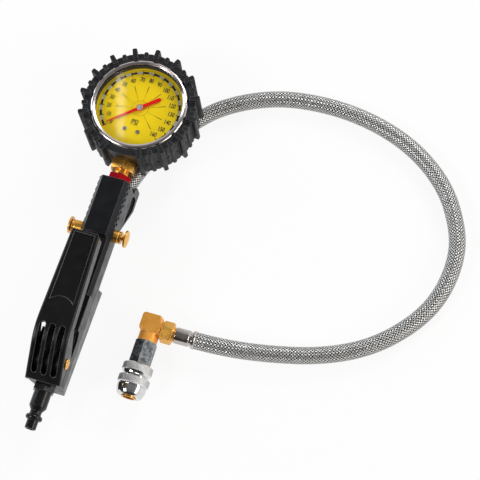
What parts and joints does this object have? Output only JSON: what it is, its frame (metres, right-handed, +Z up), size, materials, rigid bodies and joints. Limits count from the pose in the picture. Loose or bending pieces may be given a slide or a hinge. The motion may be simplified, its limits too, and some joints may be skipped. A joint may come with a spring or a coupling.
{
  "type": "tire inflator gauge",
  "caption": "Hand-held tyre inflator: dial pressure gauge in a lugged rubber boot on a lever valve, with a braided hose and a lock-on chuck.",
  "frame": {"origin": "middle of the inflator's footprint without its hose, on the surface it lies on", "axes": "+Y runs along the handle from the air plug to the gauge, +Z is up through the dial's face, +X is across, towards the side where the hose lies"},
  "size_m": [0.294, 0.298, 0.06],
  "materials": {
    "black_anodised": "black anodised, satin",
    "lever_black": "black powder coat, satin",
    "red_anodised": "red anodised",
    "brass": "turned brass",
    "black_steel": "black oxide steel",
    "boot_rubber": "moulded rubber",
    "case_black": "black painted steel",
    "bezel_chrome": "polished chrome",
    "lens_clear": "clear",
    "dial_yellow": "printed yellow dial",
    "pointer_red": "red enamel",
    "cap_grey": "brushed",
    "steel": "bright steel",
    "spring_steel": "spring steel",
    "seal_rubber": "rubber ring",
    "hose_braid": "rubber hose in steel braid",
    "ferrule_steel": "crimped steel",
    "zinc_steel": "zinc plated steel",
    "sleeve_chrome": "nickel plated, fluted"
  },
  "bodies": {
    "handle": {"valve_body": "black_anodised", "lever_pin": "brass", "selector_gland_left": "brass", "selector_gland_right": "brass", "inlet_plug": "black_steel", "gauge_bushing": "red_anodised", "gauge_socket": "brass", "tread_boot": "boot_rubber", "gauge_case": "case_black", "gauge_bezel": "bezel_chrome", "lens_gasket": "seal_rubber", "gauge_lens": "lens_clear", "gauge_dial": "dial_yellow", "dial_screws": "steel", "movement_screws": "steel", "movement_base": "brass", "movement_top": "brass", "hair_spring": "spring_steel", "bourdon_tube": "brass", "tube_tip": "brass", "valve_gland": "brass", "valve_seal": "seal_rubber", "valve_spring": "spring_steel", "hose_nipple": "brass", "hose": "hose_braid", "hose_ferrule": "ferrule_steel", "hose_end_hex": "brass", "elbow_fitting": "brass", "chuck_stem": "zinc_steel", "chuck_core": "brass", "chuck_balls": "steel", "chuck_seal": "seal_rubber", "core_pin": "brass", "chuck_spring": "spring_steel"},
    "squeeze_lever": {"lever": "lever_black"},
    "push_rod": {"valve_stem": "brass"},
    "selector": {"selector_spool": "brass", "selector_knob": "brass", "selector_seals": "seal_rubber"},
    "sector": {"sector_gear": "brass"},
    "pointer": {"gauge_pointer": "pointer_red", "pointer_cap": "cap_grey", "pinion_shaft": "brass"},
    "link": {"drive_link": "brass"},
    "sleeve": {"chuck_sleeve": "sleeve_chrome"}
  },
  "joints": [
    {"name": "lever_pivot", "type": "hinge", "parent": "handle", "child": "squeeze_lever", "pos_m": [0, -0.0962, 0.0375], "axis": [-1, 0, 0], "range_deg": [0, 7], "stiffness_Nm_per_rad": 2, "springref_deg": -5.73},
    {"name": "push_rod_slide", "type": "slide", "parent": "handle", "child": "push_rod", "axis": [0, 0, -1], "range_m": [0, 0.0053], "deforming": ["valve_spring"]},
    {"name": "selector_slide", "type": "slide", "parent": "handle", "child": "selector", "axis": [-1, 0, 0], "range_m": [0, 0.0022]},
    {"name": "sector_turn", "type": "hinge", "parent": "handle", "child": "sector", "pos_m": [0, 0.08065, 0.0294], "axis": [0, 0, 1], "range_deg": [0, 33.75], "stiffness_Nm_per_rad": 0.0005},
    {"name": "pointer_turn", "type": "hinge", "parent": "handle", "child": "pointer", "pos_m": [0, 0.0988, 0.0372], "axis": [0, 0, -1], "range_deg": [0, 270.1]},
    {"name": "link_turn", "type": "hinge", "parent": "sector", "child": "link", "pos_m": [0.008, 0.08065, 0.03065], "axis": [0, 0, -1], "range_deg": [0, 54]},
    {"name": "sleeve_slide", "type": "slide", "parent": "handle", "child": "sleeve", "axis": [0, 1, 0], "range_m": [0, 0.003], "stiffness_N_per_m": 1500, "deforming": ["chuck_spring"]}
  ],
  "couplings": [
    {"joint": "push_rod_slide", "follows": "lever_pivot", "m_per_rad": 0.042},
    {"joint": "pointer_turn", "follows": "sector_turn", "ratio": 8},
    {"joint": "link_turn", "follows": "sector_turn", "ratio": 1.557}
  ]
}
